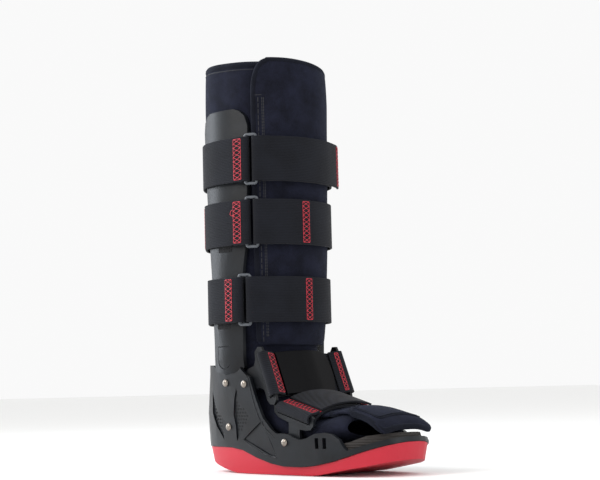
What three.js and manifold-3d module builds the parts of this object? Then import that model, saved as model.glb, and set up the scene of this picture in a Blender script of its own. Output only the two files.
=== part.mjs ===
// A tall medical walking boot: a hollow padded liner held by two uprights in a stiff base shell.
// +X points to the toe, +Z up. The leg's centre line is the Z axis and the sole rests on Z = 0.
import * as THREE from "three";
import { mergeVertices } from "three/addons/utils/BufferGeometryUtils.js";
import Module from "manifold-3d";

const wasm = await Module();
wasm.setup();

// Driving dimensions in millimetres
const CLEARANCE = 0.3; // between neighbouring pieces

const LINER_TOP = 411; // height of the liner's rim
const LINER_BACK_RISE = 8; // the rim stands higher at the calf
const LINER_WALL = 6; // padded cloth
const LEG_FRONT = 60.5; // from the leg's centre line to the liner's front at the rim
const LEG_BACK = 61;
const LEG_HALF = 58;
const INSTEP_HEIGHT = 119; // the front of the first foot section
const FOOT_REACH = 150; // from the leg's centre line to the open toe
const FOOT_SHARE = 0.8; // the foot is this share of the leg in width
const FOOT_HALF = FOOT_SHARE * LEG_HALF;
const TOE_FLAP_REACH = 188;

const FLAP_THICKNESS = 4; // padded overlaps of the liner
const FLAP_SEAT = 1.2; // they lie this far off the liner, whose faces are flat between its points
const LEG_FLAP_TOP = 416;
const LEG_FLAP_BOTTOM = 125;
const LEG_FLAP_NEAR_EDGE = -54; // degrees round the leg, 0 at the front and minus on the lateral side
const LEG_FLAP_FAR_EDGE = 52;

const SHELL_BACK = 71; // from the leg's centre line to the heel's back
const SHELL_LENGTH = 268;
const SHELL_ROOM = 7.6; // from the foot's side to the shell's outer face at the ball
const SHELL_HALF = FOOT_HALF + SHELL_ROOM; // half width at the ball
const SHELL_TOP = 105;
const UPRIGHT_STAND = 4; // from the leg's side to the upright's outer face where it enters the shell
const SHELL_TOP_HALF = LEG_HALF + UPRIGHT_STAND;
const SHELL_WALL = 3.6;
const SHELL_FLOOR = 5;
const RECESS_DEPTH = 1.2;

const SEAM_HEIGHT = 32; // highest point of the line between sole and shell
const TOE_SPRING = 17; // how far the sole's tip stands off the ground
const SOLE_DRAFT = 5; // how far the sole's side leans in at the ground
const FOOTBED_TOP = 40.5; // at the toe

const UPRIGHT_TOP = 365;
const UPRIGHT_THICKNESS = 3.5;
const UPRIGHT_SEAT = 1; // the calf end lies this far off the liner
const UPRIGHT_FRONT = 24; // front edge at the bottom
const UPRIGHT_BACK = 15.5;
const UPRIGHT_FOOT_CURVE = 54; // front to back radius of the oval that the upright follows, at its foot
const UPRIGHT_CALF_CURVE = 70;
const TONGUE_THICKNESS = 3; // the upright's lower end inside the shell wall
const TONGUE_DEPTH = 32;
const TAB_WIDTH = 19; // the release tab pressed into the upright
const TAB_HEIGHT = 21;
const TAB_CENTRE_X = 1.5;
const TAB_TOP = 125.5;
const PATCH_WIDTH = 18; // hook patches let into the upright under the lower two straps
const PATCH_DROP = 5; // how far a patch reaches below its strap
const PATCH_THICKNESS = 1;

const WEBBING_WIDTH = 45;
const WEBBING_THICKNESS = 2.2;
const RING_WIDTH = 14;
const RING_BAR = 3;
const COVER_THICKNESS = 3; // the padded cover on the ankle strap
const BRACKET_THICKNESS = 3;
const RIVET_HEAD = 8; // diameter
const RIVET_SHANK = 4;

// The three leg straps: middle height, where the ring sits and where the folded end is stitched down
const LEG_STRAPS = [
  { name: "top", height: 311.5, ringAngle: -53, endAngle: 50, lift: 5 },
  { name: "middle", height: 248.5, ringAngle: -53.5, endAngle: -2, lift: 0 },
  { name: "lower", height: 171.5, ringAngle: -62.5, endAngle: 2, lift: 0 },
];

// Leg sections: height as a share of the liner's top, rise of its back rise, the rest of the leg's own sizes
const LEG_SECTIONS = [
  { height: 0.321, front: 0.8, back: 0.83, half: 0.915 },
  { height: 0.366, front: 0.86, back: 0.875, half: 0.94 },
  { height: 0.42, front: 0.88, back: 0.88, half: 0.955 },
  { height: 0.52, front: 0.91, back: 0.93, half: 0.95 },
  { height: 0.608, front: 0.935, back: 0.94, half: 0.96 },
  { height: 0.686, front: 0.97, back: 0.975, half: 0.97 },
  { height: 0.763, front: 0.975, back: 0.965, half: 0.975 },
  { height: 0.84, front: 0.99, back: 0.99, half: 0.985, rise: 0.2 },
  { height: 0.95, front: 1, back: 1, half: 0.995, rise: 0.9 },
  { height: 1, front: 0.985, back: 0.985, half: 0.98, rise: 1 },
];

// Foot sections, each a plane through an instep point and a heel or sole point:
// lengths along X are shares of the foot's reach, heights of the instep's height, halves of the foot's half,
// and power says how square the section is, 2 for an ellipse
const FOOT_SECTIONS = [
  { instepX: 0.304, instepZ: 1, soleX: -0.335, soleZ: 0.907, half: 1.11, power: 2.25 },
  { instepX: 0.318, instepZ: 0.958, soleX: -0.345, soleZ: 0.719, half: 1.09, power: 2.25 },
  { instepX: 0.33, instepZ: 0.92, soleX: -0.365, soleZ: 0.542, half: 1.06, power: 2.25 },
  { instepX: 0.343, instepZ: 0.882, soleX: -0.35, soleZ: 0.406, half: 1.02, power: 2.25 },
  { instepX: 0.355, instepZ: 0.845, soleX: -0.27, half: 0.98, power: 2.2 },
  { instepX: 0.369, instepZ: 0.803, soleX: -0.133, half: 0.97, power: 2.15 },
  { instepX: 0.383, instepZ: 0.756, soleX: 0.053, half: 0.965, power: 2.1 },
  { instepX: 0.401, instepZ: 0.702, soleX: 0.233, half: 0.96, power: 2.05 },
  { instepX: 0.455, instepZ: 0.559, soleX: 0.4, half: 0.955, power: 2 },
  { instepX: 0.613, instepZ: 0.498, soleX: 0.567, half: 0.95, power: 2 },
  { instepX: 0.767, instepZ: 0.472, soleX: 0.767, half: 0.955, power: 2 },
  { instepX: 0.867, instepZ: 0.517, soleX: 0.867, half: 0.96, power: 2 },
  { instepX: 1, instepZ: 0.497, soleX: 1, half: 0.93, power: 2 },
];

// The toe flap runs past the open toe: reach as a share of the flap's own reach, height of the instep's
const TOE_SECTIONS = [
  { reach: 0.894, top: 0.458, half: 0.87, power: 2.2 },
  { reach: 0.947, top: 0.43, half: 0.81, power: 2.2 },
  { reach: 0.981, top: 0.393, half: 0.73, power: 2.2 },
  { reach: 1, top: 0.352, half: 0.62, power: 2.2 },
];

// Base stations from heel to toe: along as a share of the shell's length, the rest of the sole's own sizes
const BASE_STATIONS = [
  { along: 0, ground: 0.78, seam: 0.81, footbed: 0.865 },
  { along: 0.1, ground: 0.42, seam: 0.805, footbed: 0.865 },
  { along: 0.19, ground: 0.13, seam: 0.81, footbed: 0.865 },
  { along: 0.245, ground: 0, seam: 0.8, footbed: 0.845 },
  { along: 0.313, ground: 0, seam: 0.73, footbed: 0.805 },
  { along: 0.394, ground: 0, seam: 0.51, footbed: 0.7 },
  { along: 0.47, ground: 0, seam: 0.347, footbed: 0.63 },
  { along: 0.541, ground: 0, seam: 0.262, footbed: 0.58 },
  { along: 0.619, ground: 0, seam: 0.258, footbed: 0.58 },
  { along: 0.66, ground: 0, seam: 0.28, footbed: 0.58 },
  { along: 0.7, ground: 0.05, seam: 0.315, footbed: 0.6 },
  { along: 0.785, ground: 0.28, seam: 0.447, footbed: 0.71 },
  { along: 0.847, ground: 0.44, seam: 0.59, footbed: 0.8 },
  { along: 0.896, ground: 0.56, seam: 0.72, footbed: 0.926 },
  { along: 0.981, ground: 0.86, seam: 0.94, footbed: 1 },
  { along: 1, ground: 1, seam: 1, footbed: 1 },
];

// The shell's upper edge in side view, from the upright's foot to the toe
const SHELL_EDGE = [
  { along: 0.34, height: 0.995 },
  { along: 0.356, height: 0.985 },
  { along: 0.383, height: 0.93 },
  { along: 0.401, height: 0.907 },
  { along: 0.409, height: 0.841 },
  { along: 0.429, height: 0.695 },
  { along: 0.457, height: 0.524 },
  { along: 0.494, height: 0.419 },
  { along: 0.516, height: 0.381 },
  { along: 0.558, height: 0.381 },
  { along: 0.579, height: 0.374 },
  { along: 0.604, height: 0.345 },
  { along: 0.634, height: 0.325 },
  { along: 0.668, height: 0.338 },
  { along: 0.709, height: 0.38 },
  { along: 0.752, height: 0.39 },
  { along: 0.784, height: 0.377 },
  { along: 0.817, height: 0.329 },
  { along: 0.836, height: 0.257 },
  { along: 0.847, height: 0.233 },
  { along: 0.896, height: 0.27 },
  { along: 0.981, height: 0.338 },
  { along: 1, height: 0.352 },
];

// The shell's outline in plan at a few heights: middle is where heel and toe curves meet, and half runs
// from the half width at the ball, 0, to that at the top, 1
const SHELL_LEVELS = [
  { height: 0, back: 0.96, middle: 0.675, tip: 0.985, half: -0.27, heel: 3, toe: 2.5 },
  { height: 0.29, back: 1, middle: 0.675, tip: 1, half: 0, heel: 3, toe: 2.5 },
  { height: 0.57, back: 1, middle: 0.377, tip: 0.97, half: 0.54, heel: 2.3, toe: 2.5 },
  { height: 0.95, back: 0.81, middle: 0.3, tip: 0.87, half: 0.95, heel: 2.3, toe: 2.3 },
  { height: 1.16, back: 0.77, middle: 0.28, tip: 0.8, half: 1.01, heel: 2.3, toe: 2.2 },
];

const SIDES = [
  { name: "lateral", sign: -1 },
  { name: "medial", sign: 1 },
];

const at = (x, y, z) => new THREE.Vector3(x, y, z);
const radians = THREE.MathUtils.degToRad;
const mix = THREE.MathUtils.lerp;

// Reads one column of a table at a place between its rows
function read(rows, key, place, column) {
  if (place <= rows[0][key]) return rows[0][column];
  for (let i = 1; i < rows.length; i++) {
    if (place <= rows[i][key]) {
      const share = (place - rows[i - 1][key]) / (rows[i][key] - rows[i - 1][key]);
      return mix(rows[i - 1][column], rows[i][column], share);
    }
  }
  return rows[rows.length - 1][column];
}

function turnedInsideOut(geometry) {
  const index = geometry.index.array;
  for (let i = 0; i < index.length; i += 3) [index[i + 1], index[i + 2]] = [index[i + 2], index[i + 1]];
  return geometry;
}

function signedVolume(geometry) {
  const corner = [at(0, 0, 0), at(0, 0, 0), at(0, 0, 0)];
  const index = geometry.index.array;
  let total = 0;
  for (let i = 0; i < index.length; i += 3) {
    corner.forEach((c, k) => c.fromBufferAttribute(geometry.attributes.position, index[i + k]));
    total += corner[0].dot(corner[1].clone().cross(corner[2]));
  }
  return total;
}

// A closed skin through rings of equally many points. The ends get flat caps, laddered across each ring,
// unless it is looped: then the last ring joins the first.
function skin(rings, looped = false) {
  const count = rings[0].length;
  const faces = [];
  const spans = looped ? rings.length : rings.length - 1;
  for (let r = 0; r < spans; r++) {
    const here = r * count;
    const next = ((r + 1) % rings.length) * count;
    for (let i = 0; i < count; i++) {
      const j = (i + 1) % count;
      faces.push(here + i, here + j, next + j, here + i, next + j, next + i);
    }
  }
  if (!looped) {
    const last = (rings.length - 1) * count;
    for (let k = 0; k < count / 2 - 1; k++) {
      const [a, b, c, d] = [k, k + 1, count - 2 - k, count - 1 - k];
      faces.push(a, c, b, a, d, c);
      faces.push(last + a, last + b, last + c, last + a, last + c, last + d);
    }
  }
  const geometry = new THREE.BufferGeometry();
  const positions = rings.flat().flatMap((p) => [p.x, p.y, p.z]);
  geometry.setAttribute("position", new THREE.Float32BufferAttribute(positions, 3));
  geometry.setIndex(faces);
  return signedVolume(geometry) < 0 ? turnedInsideOut(geometry) : geometry;
}

function solidOf(geometry) {
  const bare = geometry.clone();
  bare.deleteAttribute("normal");
  bare.deleteAttribute("uv");
  const merged = mergeVertices(bare, 1e-4);
  return new wasm.Manifold(
    new wasm.Mesh({
      numProp: 3,
      vertProperties: new Float32Array(merged.attributes.position.array),
      triVerts: new Uint32Array(merged.index.array),
    }),
  );
}

function geometryOf(solid) {
  const mesh = solid.getMesh();
  const geometry = new THREE.BufferGeometry();
  geometry.setAttribute("position", new THREE.Float32BufferAttribute(mesh.vertProperties, 3));
  geometry.setIndex(new THREE.Uint32BufferAttribute(mesh.triVerts, 1));
  return geometry;
}

// Moves every point of a geometry by a rule
function reshaped(geometry, rule) {
  const position = geometry.attributes.position;
  const point = at(0, 0, 0);
  for (let i = 0; i < position.count; i++) {
    point.fromBufferAttribute(position, i);
    rule(point);
    position.setXYZ(i, point.x, point.y, point.z);
  }
  return geometry;
}

// The lateral piece, or its mirror image for the medial side
function onSide(geometry, side) {
  if (side.sign < 0) return geometry;
  const copy = geometry.index ? geometry.clone() : mergeVertices(geometry.clone(), 1e-4);
  return turnedInsideOut(reshaped(copy, (p) => (p.y = -p.y)));
}

// The same outline, turned to run counter-clockwise
function counterClockwise(outline) {
  const points = outline.map(([x, z]) => new THREE.Vector2(x, z));
  return THREE.ShapeUtils.isClockWise(points) ? points.reverse() : points;
}

// A plate with its outline in the XZ plane, between two places on Y
function sidePlate(outline, nearY, farY, holes = []) {
  const shape = new THREE.Shape(counterClockwise(outline));
  for (const hole of holes) shape.holes.push(new THREE.Path(counterClockwise(hole)));
  const plate = new THREE.ExtrudeGeometry(shape, { depth: farY - nearY, bevelEnabled: false });
  plate.rotateX(Math.PI / 2);
  plate.translate(0, farY, 0);
  return plate;
}

// Superellipse arm: its reach along one axis at an angle
const arm = (value, power) => Math.sign(value) * Math.abs(value) ** (2 / power);

const group = new THREE.Group();
const FINISHES = {
  shell: { color: 0x4b4d54, roughness: 0.55, metalness: 0 },
  cloth: { color: 0x2f3347, roughness: 0.95, metalness: 0 },
  webbing: { color: 0x33363e, roughness: 0.8, metalness: 0 },
  ring: { color: 0x6b7078, roughness: 0.4, metalness: 0 },
  sole: { color: 0xd8404f, roughness: 0.6, metalness: 0 },
  footbed: { color: 0x35302e, roughness: 0.9, metalness: 0 },
  rivet: { color: 0x6a6460, roughness: 0.3, metalness: 1 },
  patch: { color: 0x1c1c20, roughness: 1, metalness: 0 },
};

function put(name, geometry, finish) {
  const mesh = new THREE.Mesh(geometry, new THREE.MeshStandardMaterial(FINISHES[finish]));
  mesh.name = name;
  group.add(mesh);
}

// Sections of the padded liner
const LEG_RING = 24; // points round a section
const LEG_POWER = 2.25; // a little squarer than an ellipse

// The leg's half lengths at a height
function legOval(z) {
  const share = z / LINER_TOP;
  return {
    front: LEG_FRONT * read(LEG_SECTIONS, "height", share, "front"),
    back: LEG_BACK * read(LEG_SECTIONS, "height", share, "back"),
    half: LEG_HALF * read(LEG_SECTIONS, "height", share, "half"),
  };
}

const shellX = (along) => along * SHELL_LENGTH - SHELL_BACK;
const alongOf = (x) => (x + SHELL_BACK) / SHELL_LENGTH;
const groundZ = (x) => TOE_SPRING * read(BASE_STATIONS, "along", alongOf(x), "ground");
const seamZ = (x) => SEAM_HEIGHT * read(BASE_STATIONS, "along", alongOf(x), "seam");
const footbedZ = (x) => FOOTBED_TOP * read(BASE_STATIONS, "along", alongOf(x), "footbed");

// Each section lies between a front or instep point and a heel or sole point
function footSection(row) {
  const top = at(row.instepX * FOOT_REACH, 0, row.instepZ * INSTEP_HEIGHT);
  const soleX = row.soleX * FOOT_REACH;
  const soleZ = row.soleZ ? row.soleZ * INSTEP_HEIGHT : footbedZ(soleX) + CLEARANCE;
  return { top, sole: at(soleX, 0, soleZ), half: row.half * FOOT_HALF, power: row.power };
}

function legSection(row) {
  const z = row.height * LINER_TOP;
  return {
    top: at(row.front * LEG_FRONT, 0, z),
    sole: at(-row.back * LEG_BACK, 0, z + (row.rise || 0) * LINER_BACK_RISE),
    half: row.half * LEG_HALF,
  };
}

function toeSection(row) {
  const x = row.reach * TOE_FLAP_REACH;
  return {
    top: at(x, 0, row.top * INSTEP_HEIGHT),
    sole: at(x, 0, footbedZ(x) - FLAP_THICKNESS),
    half: row.half * FOOT_HALF,
    power: row.power,
  };
}

// A point of a section's outline, angle 0 at the front or top, set out by an offset
function sectionPoint(section, angle, offset) {
  const power = section.power || LEG_POWER;
  const middle = section.top.clone().add(section.sole).multiplyScalar(0.5);
  const toTop = section.top.clone().sub(middle);
  const reach = toTop.length();
  const point = middle.addScaledVector(toTop.normalize(), arm(Math.cos(angle), power) * (reach + offset));
  point.y += arm(Math.sin(angle), power) * (section.half + offset);
  return point;
}

const linerSections = [
  ...LEG_SECTIONS.map(legSection).reverse(),
  ...FOOT_SECTIONS.map(footSection),
];

function linerRing(section, offset) {
  return Array.from({ length: LEG_RING }, (_, i) =>
    sectionPoint(section, ((i + 0.5) / LEG_RING) * 2 * Math.PI, offset),
  );
}

put(
  "liner",
  skin(
    [
      ...linerSections.map((s) => linerRing(s, 0)),
      ...[...linerSections].reverse().map((s) => linerRing(s, -LINER_WALL)),
    ],
    true,
  ),
  "cloth",
);

// The leg flap laps over the liner's front, with a rounded upper corner on the lateral side
const LEG_FLAP_STEPS = 16;
const LEG_FLAP_ROWS = [0, 0.15, 0.4, 0.65, 0.9, 1];
const LEG_FLAP_CORNER = 14; // degrees over which the corner rounds off
const LEG_FLAP_DROP = 30; // how far the edge drops in that corner

function legFlapRing(angle) {
  const into = Math.min(1, (angle - LEG_FLAP_NEAR_EDGE) / LEG_FLAP_CORNER);
  const away = Math.max(0, angle - LEG_FLAP_NEAR_EDGE - 2 * LEG_FLAP_CORNER);
  const top = LEG_FLAP_TOP - LEG_FLAP_DROP * (1 - Math.sqrt(1 - (1 - into) ** 2)) - away * away * 0.0012;
  const along = (offset) => (share) => {
    const z = mix(LEG_FLAP_BOTTOM, top, share);
    const oval = legOval(z);
    const section = { top: at(oval.front, 0, z), sole: at(-oval.back, 0, z), half: oval.half };
    return sectionPoint(section, sectionAngle(section, angle), offset);
  };
  const outer = LEG_FLAP_ROWS.map(along(FLAP_SEAT + FLAP_THICKNESS));
  const inner = LEG_FLAP_ROWS.map(along(FLAP_SEAT));
  return [...outer, ...inner.reverse()];
}

// The section's own angle whose point lies at a true angle round the leg's centre line
function sectionAngle(section, degrees) {
  let low = -Math.PI;
  let high = Math.PI;
  for (let i = 0; i < 30; i++) {
    const trial = (low + high) / 2;
    const point = sectionPoint(section, trial, 0);
    if (Math.atan2(point.y, point.x) < radians(degrees)) low = trial;
    else high = trial;
  }
  return (low + high) / 2;
}

const legFlapAngles = Array.from({ length: LEG_FLAP_STEPS + 1 }, (_, i) =>
  mix(LEG_FLAP_NEAR_EDGE, LEG_FLAP_FAR_EDGE, (i / LEG_FLAP_STEPS) ** 1.25),
);
put("leg_flap", skin(legFlapAngles.map(legFlapRing)), "cloth");

// The toe flap covers the instep and runs over the open toe: near and far edges in degrees round each section
const TOE_FLAP_FIRST = 8; // the foot section where it starts
const TOE_FLAP_STEPS = 12;
const TOE_FLAP_EDGES = [
  { reach: 0, near: -42, far: 46 },
  { reach: 0.5, near: -44, far: 52 },
  { reach: 0.8, near: -46, far: 78 },
  { reach: 0.93, near: -56, far: 82 },
  { reach: 1, near: -86, far: 86 },
];

const toeFlapSections = [
  ...FOOT_SECTIONS.slice(TOE_FLAP_FIRST).map(footSection),
  ...TOE_SECTIONS.map(toeSection),
];

function toeFlapRing(section) {
  const start = toeFlapSections[0].top.x;
  const share = (section.top.x - start) / (TOE_FLAP_REACH - start);
  const near = radians(read(TOE_FLAP_EDGES, "reach", share, "near"));
  const far = radians(read(TOE_FLAP_EDGES, "reach", share, "far"));
  const line = (offset) =>
    Array.from({ length: TOE_FLAP_STEPS + 1 }, (_, i) =>
      sectionPoint(section, mix(near, far, i / TOE_FLAP_STEPS), offset),
    );
  return [...line(FLAP_SEAT + FLAP_THICKNESS), ...line(FLAP_SEAT).reverse()];
}

put("toe_flap", skin(toeFlapSections.map(toeFlapRing)), "cloth");

// Base shell, footbed and sole
const BASE_RING = 36; // points round the base in plan

const shellHalfAt = (z) => mix(SHELL_HALF, SHELL_TOP_HALF, read(SHELL_LEVELS, "height", z / SHELL_TOP, "half"));

// The base's outline in plan at one height, drawn in by an inset
function baseRing(z, inset, lift = 0) {
  const level = (column) => read(SHELL_LEVELS, "height", z / SHELL_TOP, column);
  const middle = shellX(level("middle"));
  const back = middle + SHELL_BACK * level("back") - inset;
  const tip = shellX(level("tip")) - middle - inset;
  const half = shellHalfAt(z) - inset;
  return Array.from({ length: BASE_RING }, (_, i) => {
    const angle = ((i + 0.5) / BASE_RING) * 2 * Math.PI;
    const toToe = Math.cos(angle) > 0;
    const power = level(toToe ? "toe" : "heel");
    return at(
      middle + (toToe ? tip : back) * arm(Math.cos(angle), power),
      half * arm(Math.sin(angle), power),
      z + lift,
    );
  });
}

// Everything between an upper and a lower line in side view
const BEYOND = 20; // how far cutting outlines run past the base
const stationsX = BASE_STATIONS.map((row) => shellX(row.along));
function between(lower, upper) {
  const reach = SHELL_TOP_HALF + BEYOND;
  const first = stationsX[0] - BEYOND;
  const last = stationsX[stationsX.length - 1] + BEYOND;
  return solidOf(sidePlate([[first, lower[0][1]], ...lower, [last, lower.at(-1)[1]],
    [last, upper.at(-1)[1]], ...[...upper].reverse(), [first, upper[0][1]]], -reach, reach));
}

const lineOf = (height) => stationsX.map((x) => [x, height(x)]);
const baseLoft = (inset, heights) => solidOf(skin(heights.map((z) => baseRing(z, inset))));

const LEVEL_HEIGHTS = SHELL_LEVELS.map((row) => row.height * SHELL_TOP);
const shellEdge = SHELL_EDGE.map((row) => [shellX(row.along), row.height * SHELL_TOP]);
const rimZ = (x) => SHELL_TOP * read(SHELL_EDGE, "along", alongOf(x), "height");

// The heel cup stands a little higher at the back, and the uprights' round feet are let into its edge
const HEEL_CUP_TOP = 109;
const FOOT_DEPTH = 6.5; // how deep the upright's round foot sits
const footCentreX = (UPRIGHT_FRONT - UPRIGHT_BACK) / 2;
const footHalf = (UPRIGHT_FRONT + UPRIGHT_BACK) / 2;
function uprightFoot(extra) {
  const steps = 10;
  return Array.from({ length: steps + 1 }, (_, i) => {
    const angle = Math.PI * (i / steps);
    return [
      footCentreX - (footHalf + extra) * Math.cos(angle),
      SHELL_TOP - (FOOT_DEPTH + extra) * Math.sin(angle) + extra / 2,
    ];
  });
}
const shellTopLine = [
  [shellX(0), HEEL_CUP_TOP],
  [-UPRIGHT_BACK - FOOT_DEPTH, HEEL_CUP_TOP - 1],
  ...uprightFoot(CLEARANCE),
  ...shellEdge.filter(([x]) => x > UPRIGHT_FRONT + CLEARANCE),
];

// Wall recesses: two pierced leaves and a triangle with a slit, in side view
const LEAF_FRONT = [[16, 84], [19.5, 70], [35, 58], [24, 48], [5, 32], [8, 46], [8, 58], [12, 74]];
const LEAF_BACK = [[-29, 83], [-25, 66], [-14, 56], [-17, 44], [-18, 33], [-29, 46], [-34, 60], [-31, 74]];
const TRIANGLE = [[17, 34], [48.7, 52], [65, 17.5], [60, 17]];
const SLOTS = [121.5, 131];
const SLOT_FOOT = 26;
const SLOT_TOP = 36;
const SLOT_WIDTH = 4.4;

// A cutter whose inner face follows the leaning wall at a depth
function wallCutter(outline, depth, side) {
  const cutter = sidePlate(outline, -SHELL_TOP_HALF - BEYOND, -SHELL_HALF);
  reshaped(cutter, (p) => {
    if (p.y > -SHELL_HALF - 0.001) p.y = -shellHalfAt(p.z) * wallShare(p.x, p.z) + depth;
  });
  return solidOf(onSide(cutter, side));
}

// How much of its greatest half width the shell has at a place along it
function wallShare(x, z) {
  const level = (column) => read(SHELL_LEVELS, "height", z / SHELL_TOP, column);
  const middle = shellX(level("middle"));
  const toToe = x > middle;
  const reach = toToe ? shellX(level("tip")) - middle : middle + SHELL_BACK * level("back");
  const power = level(toToe ? "toe" : "heel");
  return (1 - Math.min(1, Math.abs(x - middle) / reach) ** power) ** (1 / power);
}

// The outer face of the wall at a place in side view
const wallY = (x, z) => shellHalfAt(z) * wallShare(x, z);

// Rivets: their places in side view
const RIVETS = [
  { name: "upright", x: 1, z: 90 },
  { name: "ankle_bracket", x: 28.5, z: 88.5 },
  { name: "heel", x: -3.7, z: 46.2 },
  { name: "forefoot_bracket", x: 78.2, z: 31.5 },
];
const RIVET_SIDES = 10;
const PIN_DEEP = SHELL_HALF - 14; // rivet holes reach in to this far from the middle plane

// A cylinder across the boot, on the lateral side
function crossPin(x, z, radius, nearY, farY) {
  const pin = new THREE.CylinderGeometry(radius, radius, farY - nearY, RIVET_SIDES);
  pin.translate(x, (nearY + farY) / 2, z);
  return pin;
}

let shell = baseLoft(0, LEVEL_HEIGHTS).intersect(between(lineOf(seamZ), shellTopLine));
const TOE_PLATE = 0.84; // share of the shell's length past which it is a plate without walls
const PLATE_SKIM = 0.2;
const allX = [...stationsX, ...shellEdge.map(([x]) => x)].sort((a, b) => a - b);
const floorX = allX.filter((x, i) => x !== allX[i - 1]);
const cavityFloor = floorX.map((x) => {
  const floor = seamZ(x) + SHELL_FLOOR;
  return [x, x < shellX(TOE_PLATE) ? floor : Math.max(floor, rimZ(x) + PLATE_SKIM)];
});
const cavity = baseLoft(SHELL_WALL, LEVEL_HEIGHTS).intersect(
  between(cavityFloor, [[shellX(0), HEEL_CUP_TOP + BEYOND], [shellX(1), HEEL_CUP_TOP + BEYOND]]),
);
shell = shell.subtract(cavity);
for (const side of SIDES) {
  for (const outline of [LEAF_FRONT, LEAF_BACK, TRIANGLE]) {
    shell = shell.subtract(wallCutter(outline, RECESS_DEPTH, side));
  }
  for (const x of SLOTS) {
    const slot = [[x - SLOT_WIDTH / 2, SLOT_FOOT], [x + SLOT_WIDTH / 2, SLOT_FOOT],
      [x + SLOT_WIDTH / 2, SLOT_TOP], [x - SLOT_WIDTH / 2, SLOT_TOP]];
    shell = shell.subtract(wallCutter(slot, SHELL_WALL + 1, side));
  }
  for (const rivet of RIVETS) {
    const hole = crossPin(rivet.x, rivet.z, RIVET_SHANK / 2 + CLEARANCE, -SHELL_TOP_HALF - BEYOND, -PIN_DEEP);
    shell = shell.subtract(solidOf(onSide(hole, side)));
  }
}
put("base_shell", geometryOf(shell), "shell");

const SOLE_LEVELS = [0, 0.3, 1, 1.12];
const soleBody = solidOf(
  skin(SOLE_LEVELS.map((share) => {
    const z = share * SEAM_HEIGHT;
    const shaped = Math.min(z, SEAM_HEIGHT);
    return baseRing(shaped, SOLE_DRAFT * Math.max(0, 1 - share) ** 2, z - shaped);
  })),
);
const seamBelow = lineOf((x) => seamZ(x) - CLEARANCE);
put("outsole", geometryOf(soleBody.intersect(between(lineOf(groundZ), seamBelow))), "sole");

const FOOTBED_INSET = 1.5;
const footbedBody = baseLoft(SHELL_WALL + FOOTBED_INSET, [0, 30, 60]);
const footbedLow = cavityFloor.map(([x, z]) => [x, z + CLEARANCE]);
let footbed = footbedBody.intersect(between(footbedLow, lineOf(footbedZ)));

// The forefoot brackets' feet pass down beside the footbed through notches
const BRACKET_FOOT_BACK = 71;
const BRACKET_FOOT_FRONT = 87;
const BRACKET_FOOT_LOW = 25.5;
const bracketFace = SHELL_HALF - SHELL_WALL - 2 * CLEARANCE; // the forefoot bracket's outer face
for (const side of SIDES) {
  const notch = sidePlate(
    [
      [BRACKET_FOOT_BACK - 1, BRACKET_FOOT_LOW - 1],
      [BRACKET_FOOT_FRONT + 9, BRACKET_FOOT_LOW - 1],
      [BRACKET_FOOT_FRONT + 9, SHELL_HALF],
      [BRACKET_FOOT_BACK - 1, SHELL_HALF],
    ],
    -SHELL_HALF,
    -bracketFace + BRACKET_THICKNESS + CLEARANCE,
  );
  footbed = footbed.subtract(solidOf(onSide(notch, side)));
}
put("footbed", geometryOf(footbed), "footbed");

// Uprights: flat curved bars from the shell to the calf
const UPRIGHT_COLUMNS = 5;

// Edges of the upright: height as a share of its length above the shell, widths as shares of its foot's
const UPRIGHT_EDGES = [
  { height: 0.03, front: 0.985, back: 1 },
  { height: 0.1, front: 1, back: 1 },
  { height: 0.37, front: 1.08, back: 1.2 },
  { height: 0.45, front: 1.2, back: 1.34 },
  { height: 0.75, front: 1.38, back: 1.75 },
  { height: 0.93, front: 1.42, back: 1.85 },
  { height: 0.97, front: 1.3, back: 1.7 },
  { height: 0.99, front: 1.08, back: 1.35 },
  { height: 1, front: 0.8, back: 1 },
];
const climb = (z) => Math.min(1, Math.max(0, (z - SHELL_TOP) / (UPRIGHT_TOP - SHELL_TOP)));

const uprightHalf = (z) => mix(SHELL_TOP_HALF, LEG_HALF + UPRIGHT_SEAT + UPRIGHT_THICKNESS, climb(z));

function uprightRing(z, front, back, outerHalf, thickness) {
  const curve = mix(UPRIGHT_FOOT_CURVE, UPRIGHT_CALF_CURVE, climb(z) ** 0.5);
  const line = (drawn) =>
    Array.from({ length: UPRIGHT_COLUMNS + 1 }, (_, i) => {
      const x = mix(-back, front, i / UPRIGHT_COLUMNS);
      return at(x, -(outerHalf - drawn) * Math.sqrt(1 - (x / (curve - drawn)) ** 2), z);
    });
  return [...line(0), ...line(thickness).reverse()];
}

const footHalfChord = (z) => footHalf * Math.sqrt(Math.max(0, 1 - ((SHELL_TOP - z) / FOOT_DEPTH) ** 2));
const uprightRings = [
  ...[0.97, 0.8, 0.5, 0].map((share) => {
    const z = SHELL_TOP - share * FOOT_DEPTH;
    const chord = footHalfChord(z);
    return uprightRing(z, footCentreX + chord, chord - footCentreX, uprightHalf(z), UPRIGHT_THICKNESS);
  }),
  ...UPRIGHT_EDGES.map((row) => {
    const z = mix(SHELL_TOP, UPRIGHT_TOP, row.height);
    const [front, back] = [row.front * UPRIGHT_FRONT, row.back * UPRIGHT_BACK];
    return uprightRing(z, front, back, uprightHalf(z), UPRIGHT_THICKNESS);
  }),
];

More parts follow.
